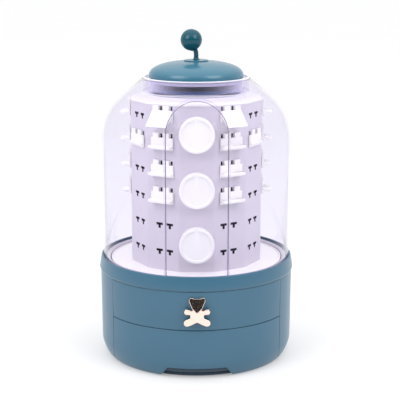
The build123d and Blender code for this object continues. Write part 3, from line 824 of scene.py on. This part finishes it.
def prism_wall(name, foot, top, corner=1.6, steps=4, tall=10):
    """Open twelve-sided tube, whose upright edges are rounded where they are tall."""
    let_go()
    bpy.ops.mesh.primitive_cylinder_add(
        vertices=faces, radius=face_distance * mm / cos(face_angle / 2), depth=(top - foot) * mm,
        end_fill_type="NOTHING", location=(0, 0, (foot + top) / 2 * mm), rotation=(0, 0, face_angle / 2))
    piece = bpy.context.object
    piece.name = name
    bpy.ops.object.transform_apply(location=True, rotation=True, scale=True)
    edit(piece, "NONE")
    bpy.ops.mesh.select_mode(type="EDGE")
    shape = bmesh.from_edit_mesh(piece.data)
    for edge in shape.edges:
        one, two = edge.verts
        edge.select_set(abs(one.co.z - two.co.z) > tall * mm)
    bmesh.update_edit_mesh(piece.data)
    bpy.ops.mesh.bevel(offset=corner * mm, segments=steps, affect="EDGES")
    let_go()
    return piece


tower = prism_wall("lavender_tower", tower_foot, cap_foot)
# the inside of the wall gets the painted shade
coat(tower, lavender, hollow_painted_shade)
wall = tower.modifiers.new("wall", "SOLIDIFY")
wall.thickness, wall.offset, wall.material_offset = tower_wall * mm, -1, 1
apply_all(tower)
weld(tower)

cut_depth, cut_start = 4.4, -face_distance - 2.6
bar_half, bar_top, stem_half, stem_low = 3.6, 2.4, 1.3, -3.2
slot = plate("slot", [
    (-bar_half, bar_top), (-bar_half, 0), (-stem_half, 0), (-stem_half, stem_low),
    (stem_half, stem_low), (stem_half, 0), (bar_half, 0), (bar_half, bar_top)], cut_depth)
move(slot, (0, cut_start, first_row))
slit_half, slit_height, slit_level = 0.95, 5.0, first_row + 6.4
slit = block("slit", (-slit_half, 0, 0), (slit_half, cut_depth, slit_height))
move(slit, (0, cut_start, slit_level))
cutters = []
for face in hook_rows:
    for row in range(rows):
        for column in columns(face):
            spot = Vector((column, 0, row * row_gap))
            turn = Matrix.Rotation(face * face_angle, 3, "Z")
            cutters.append(copy_of(slot, face * face_angle, turn @ spot, "slot copy"))
            if row in hook_rows[face] or (face in slope_faces and row == slope_row):
                spot.x += side_of(face) * slit_shift
                cutters.append(copy_of(slit, face * face_angle, turn @ spot, "slit copy"))
print(len(cutters), "slots and slits")
all_slots = join(cutters, "all slots")
# the sides of the slots get the painted shade
coat(all_slots, hollow_painted_shade)
cut(tower, all_slots)
for used in (slot, slit):
    bpy.data.objects.remove(used)
file_edges(tower, 0.18, 1, 60)
hand_over(tower, "tower", ["tower_shell"], smooth=25)

# the cap is the same tube, only low, with its open ends filled and its edges filed
cap = prism_wall("lavender_cap", cap_foot, tower_top)
edit(cap)
bpy.ops.mesh.edge_face_add()
let_go()
edit(cap, "NONE")
bpy.ops.mesh.select_mode(type="EDGE")
bpy.ops.mesh.select_non_manifold()
bpy.ops.mesh.edge_face_add()
let_go()
weld(cap)
file_edges(cap, 0.6, 3, 60)
disc_radius, disc_foot, disc_top = 50.5, 267.6, 272.2
disc = lathe("raised disc", [(0, disc_foot), (disc_radius, disc_foot), (disc_radius, disc_top, 0.8),
                             (0, disc_top)], steps=120)
cap = join([cap, disc], "lavender_cap")
# the cap and its disc get the painted light of a paler lavender
coat(cap, cap_painted_light)
hand_over(cap, "tower", ["tower_cap"], smooth=25)

# %% [markdown]
# ## The round dishes
#
# Three dishes sit on the front face and three on the back. One is turned on the lathe
# with its axis upright: a puck with a raised rim. A block cuts the notch through the rim
# where a chain hangs. The dish is then tipped onto the face and copied to six places.

# %% Dishes
dish_radius, dish_inner, dish_rim, dish_floor = 17.6, 14.7, 10, 8.6
first_dish, dish_gap = tower_foot + 28.6, 54.8
dish = lathe("dish", [
    (0, 0), (dish_radius, 0, 0.4), (dish_radius, dish_rim, 1.0), (dish_inner, dish_rim, 0.7),
    (dish_inner, dish_floor, 0.5), (0, dish_floor)], steps=120)
notch = block("notch", (-2.4, 9.1, 8.1), (2.4, 19, 12))
cut(dish, notch)
file_edges(dish, 0.3, 3, 50)
dish.data.transform(Matrix.Rotation(pi / 2, 4, "X"))
move(dish, (0, -face_distance, first_dish))
coat(dish, pearl)
for name, face in (("front", 0), ("back", 6)):
    for index, level in enumerate(("lower", "middle", "upper")):
        place = (0, 0, index * dish_gap)
        twin = copy_of(dish, face * face_angle, place, "dish_%s_%s_turned" % (name, level))
        hand_over(twin, "tower", ["dish_%s_%s" % (name, level)])
bpy.data.objects.remove(dish)

# %% [markdown]
# ## The hooks
#
# A ledge hook is an upright plate with two tabs on top and a ledge at its foot. It is
# built in the flat from two outlines, joined by a Boolean union so that the corner
# between plate and ledge is clean, and filed. The sloped hooks of the top row start from
# their side view instead. The right half of the tower carries mirrored hooks.

# %% Hooks
plate_back, plate_thick, ledge_thick, tab_shift = 0.6, 2.0, 2.3, 2.5
ledge_left, ledge_right, slope_left, slope_right = -12.3, 12.3, -10.3, 12.1
ledge_reach, short_reach, short_faces = 10.5, 4.4, (2, 10)
shoulder, tab_top, tab_half, tongue_half, tongue_long = 7.5, 12.1, 3.1, 0.95, 2.5
slope_reach, slope_low, slope_edge = 15.4, -6.9, 2.0
ledge_plate_low, slope_plate_low, ledge_back, tongue_low = -4.6, -3.1, 0.7, -3.0
left_face = 9  # hooks are modelled for a face on the left half of the tower


def hook_plate_outline(left, right, low):
    """Front view of a hook: a plate with two tabs on its shoulder."""
    points = [(left, low), (right, low), (right, shoulder)]
    for column in columns(left_face)[::-1]:
        middle = column - tab_shift
        points += [(middle + tab_half, shoulder), (middle + tab_half, tab_top),
                   (middle - tab_half, tab_top), (middle - tab_half, shoulder)]
    return points + [(left, shoulder)]


def hook_plate(name, left, right, low):
    """The upright plate of a hook, standing just off the front face of the tower."""
    piece = plate(name, hook_plate_outline(left, right, low), plate_thick)
    return move(piece, (0, -face_distance - plate_back - plate_thick, 0))


def tongues(piece):
    """Add the two tongues that reach into the slots, and file all edges."""
    back = -face_distance - plate_back - 0.2
    for column in columns(left_face):
        low = (column - tongue_half, back, tongue_low)
        high = (column + tongue_half, back + tongue_long, 0)
        cut(piece, block("tongue", low, high), "UNION")
    return file_edges(piece, 0.4, 3, 50)


def ledge_hook(name, reach):
    """A hook whose ledge stands out from the foot of its plate."""
    piece = hook_plate(name, ledge_left, ledge_right, ledge_plate_low)
    round_off = min(2.4, reach / 3)
    ledge = plate("ledge", rounded([
        (ledge_left, ledge_back), (ledge_right, ledge_back), (ledge_right, reach, round_off),
        (ledge_left, reach, round_off)]), ledge_thick)
    ledge.data.transform(Matrix.Rotation(pi / 2, 4, "X"))
    move(ledge, (0, -face_distance, -ledge_thick))
    weld(ledge)
    return tongues(cut(piece, ledge, "UNION"))


def sloped_hook(name):
    """A hook whose front leans out to its lower edge, built from its side view."""
    side = [(plate_back, shoulder), (plate_back + plate_thick, shoulder), (slope_reach, slope_low),
            (slope_reach - slope_edge, slope_low), (plate_back, 4.6)]
    slope = plate("slope", side, slope_right - slope_left)
    slope.data.transform(Matrix.Translation(Vector((slope_left, -face_distance, 0)) * mm)
                         @ Matrix.Rotation(-pi / 2, 4, "Z"))
    weld(slope)
    piece = hook_plate(name, slope_left, slope_right, slope_plate_low)
    return tongues(cut(piece, slope, "UNION"))


def mirrored(piece):
    """A mirrored copy, with its faces turned outwards again."""
    twin = copy_of(piece)
    twin.data.transform(Matrix.Scale(-1, 4, Vector((1, 0, 0))))
    weld(twin)
    return twin


def both_sides(piece):
    """The left-hand and the right-hand version of a hook, by the side it is for."""
    return {1: piece, -1: mirrored(piece)}


long_pair = both_sides(ledge_hook("ledge hook", ledge_reach))
short_pair = both_sides(ledge_hook("short hook", short_reach))
slope_pair = both_sides(sloped_hook("sloped hook"))
for face, hooked in hook_rows.items():
    angle, side = face * face_angle, side_of(face)
    kind = short_pair if face in short_faces else long_pair
    group = [copy_of(kind[side], angle, (0, 0, first_row + row_gap * row)) for row in hooked]
    hooks = join(group, "ledge_hooks_%d" % face)
    coat(hooks, pearl)
    hand_over(hooks, "tower", ["ledge_hooks_face_%d" % face])
    if face in slope_faces:
        level = first_row + row_gap * slope_row
        hook = copy_of(slope_pair[side], angle, (0, 0, level), "sloped_hook_%d" % face)
        coat(hook, pearl)
        hand_over(hook, "tower", ["sloped_hook_face_%d" % face])
for used in (*long_pair.values(), *short_pair.values(), *slope_pair.values()):
    bpy.data.objects.remove(used)

# %% [markdown]
# ## The pull on the upper drawer
#
# The pull is a small cast bear: a body with arms and feet in one plate, and a head that
# leans back a little, so that it mirrors the dark room while the body mirrors the bright
# table. The plates are cut from outlines, joined, remeshed into one skin and smoothed,
# which rounds every edge as casting and polishing do. The front is bare, with no face.

# %% Bear pull
pull_middle, body_depth, head_depth = -103.1, 2.6, 2.8
body_half = [(0, 61.4, 2.5), (5.5, 58.6, 3.0), (9.5, 57.0, 3.0), (12.9, 58.4, 2.6), (12.9, 62.6, 2.6),
             (9.4, 64.2, 2.0), (6.6, 65.6, 1.5), (6.5, 69.2, 1.5), (11.8, 69.2, 1.8), (12.9, 72.4, 1.8),
             (10.8, 75.0, 1.6), (6.2, 73.0, 1.5), (0, 74.2)]
head_half = [(0, 70.0, 1.2), (4.7, 74.6, 2.0), (8.3, 83.2, 2.0), (6.8, 85.9, 1.6),
             (4.6, 85.6, 1.2), (3.2, 84.8, 1.0)]
neck_level, head_forward, head_lean = 71, 1.2, radians(-11)


def pull_plate(name, half, depth):
    """A plate from the right half of its outline, mirrored to the left."""
    left = [(-x, *rest) for x, *rest in half if x > 0][::-1]
    return move(plate(name, rounded(half + left), depth), (0, pull_middle - depth / 2, 0))


pull = pull_plate("bear_casting", body_half, body_depth)
head = pull_plate("head", head_half, head_depth)
hinge = Vector((0, pull_middle - head_forward, neck_level)) * mm
head.data.transform(Matrix.Translation(hinge) @ Matrix.Rotation(head_lean, 4, "X")
                    @ Matrix.Translation(Vector((0, -pull_middle, -neck_level)) * mm))
boss_radius, boss_long, boss_back, boss_level = 3.0, 5.2, -98.4, 66.1
boss = lathe("boss", [(0, 0), (boss_radius, 0), (boss_radius, boss_long), (0, boss_long)], steps=48)
boss.data.transform(Matrix.Rotation(pi / 2, 4, "X"))
move(boss, (0, boss_back, boss_level))
pull = join([pull, head, boss], "bear_casting")
remesh = pull.modifiers.new("one skin", "REMESH")
remesh.mode, remesh.voxel_size = "VOXEL", 0.25 * mm
polish = pull.modifiers.new("polish", "SMOOTH")
polish.factor, polish.iterations = 0.5, 8
apply_all(pull)
weld(pull)
coat(pull, rose_gold)
hand_over(pull, "upper_drawer", ["bear_pull"], smooth=80)

# %% [markdown]
# ## Finishes on the solid pieces
#
# The pieces inside keep their solid shapes: trays, liners, shelf, runners, deck, screws
# and feet. They only get a finish in each material slot, and so do the hidden solids. The
# floor of the base is dark, like the recess of the drawer's grip, because the photograph
# shows it dark there.

# %% Coat the solid pieces
inside = {
    "blue_tray_plastic": tray_blue, "navy_plastic": navy, "black_rubber": rubber,
    "white_slide_plastic": slide_white, "zinc_steel": zinc, "flocked_velvet": flock,
    "teal_gloss_plastic": teal, "lavender_plastic": lavender, "clear_acrylic": clear_wall,
    "frosted_plastic": frosted, "pearl_white_plastic": pearl, "knob_enamel": lid_teal,
    "rose_gold": rose_gold}
slots = {part["node"]: part["material_slot"] for part in frame["record"]["subparts"]}
solids = [bpy.data.objects[node] for node in slots if node in bpy.data.objects]
for solid in solids:
    finish = navy if solid.name == "base_floor" else inside[slots[solid.name]]
    for material_slot in solid.material_slots:
        material_slot.material = finish.material
print(len(solids), "solid pieces coated")

# %% [markdown]
# ## Light, floor and camera
#
# The photograph is a studio shot on pure white. Here a broad soft light stands on each
# side in front, and the room itself lights the rest: dark behind the camera, bright
# behind the box, brightest overhead, and pure white to the camera's own eye. The teal
# plastic shows them as soft pale bands. A ray through dome, door and well meets more
# clear surfaces than a render lets through by default, and what lies behind them would
# turn black, so their number is raised. The camera stands 1.2 m away and a little above
# the lid, and looks down about twelve degrees.

# %% Studio
def softbox(name, place, aim=(0, 0, 0.2), size=(1.0, 1.0), power=12.0):
    """A rectangular area light that looks at a point."""
    let_go()
    bpy.ops.object.light_add(type="AREA", location=place)
    light = bpy.context.object
    light.name = name
    light.data.shape = "RECTANGLE"
    light.data.size, light.data.size_y = size
    light.data.energy = power
    light.rotation_euler = (Vector(aim) - Vector(place)).to_track_quat("-Z", "Y").to_euler()


softbox("left box", (-1.05, -0.95, 1.15))
softbox("right box", (1.05, -0.95, 1.25))

bpy.context.scene.view_settings.view_transform = "Standard"
bpy.context.scene.cycles.transparent_max_bounces = 48
world = bpy.context.scene.world or bpy.data.worlds.new("studio")
bpy.context.scene.world = world
world.use_nodes = True
room = world.node_tree


def room_node(kind, **inputs):
    """Add a node to the room's tree and set or link its inputs."""
    node = room.nodes.new(kind)
    for name, value in inputs.items():
        socket = node.inputs[name.replace("_", " ")]
        if isinstance(value, bpy.types.NodeSocket):
            room.links.new(value, socket)
        else:
            socket.default_value = value
    return node.outputs


def lean_towards(way, direction):
    """How far a viewing direction leans towards another one, from -1 to 1."""
    product = room.nodes.new("ShaderNodeVectorMath")
    product.operation = "DOT_PRODUCT"
    room.links.new(way, product.inputs[0])
    product.inputs[1].default_value = direction
    return product.outputs["Value"]


way = room_node("ShaderNodeTexCoord")["Generated"]
dark_wall, bright_wall, ceiling, backdrop = 0.03, 0.95, 1.7, 1.03
walls = room_node("ShaderNodeMapRange", Value=lean_towards(way, (0, 1, 0.8)), From_Min=-0.9,
                  From_Max=0.4, To_Min=dark_wall, To_Max=bright_wall)["Result"]
lit = room_node("ShaderNodeMapRange", Value=lean_towards(way, (0, 0, 1)), From_Min=0.45,
                From_Max=0.95, To_Min=walls, To_Max=ceiling)["Result"]
seen = room_node("ShaderNodeLightPath")["Is Camera Ray"]
strength = room_node("ShaderNodeMapRange", Value=seen, To_Min=lit, To_Max=backdrop)["Result"]
room.links.new(strength, room.nodes["Background"].inputs["Strength"])
room.nodes["Background"].inputs["Color"].default_value = (1, 1, 1, 1)

let_go()
bpy.ops.mesh.primitive_plane_add(size=30, location=(0, 0, 0))
floor = bpy.context.object
floor.name = "studio_floor"
floor_finish = Finish("studio_paper", Roughness=0.9, Emission_Strength=0.31, Emission_Color=(1, 1, 1, 1))
paper = floor_finish.noise(3, 2)
floor_finish.paint(Base_Color=floor_finish.between(paper, (0.52, 0.52, 0.53), (0.54, 0.54, 0.55)))
coat(floor, floor_finish)

let_go()
tilt = 77.762
bpy.ops.object.camera_add(location=(-0.011, -1.200, 0.42057),
                          rotation=(radians(tilt), 0, radians(-0.53)))
camera = bpy.context.object
camera.data.lens, camera.data.sensor_width, camera.data.shift_x = 106.66, 36, 0.0094
bpy.context.scene.camera = camera
print("camera looks down", round(90 - tilt, 1), "degrees")
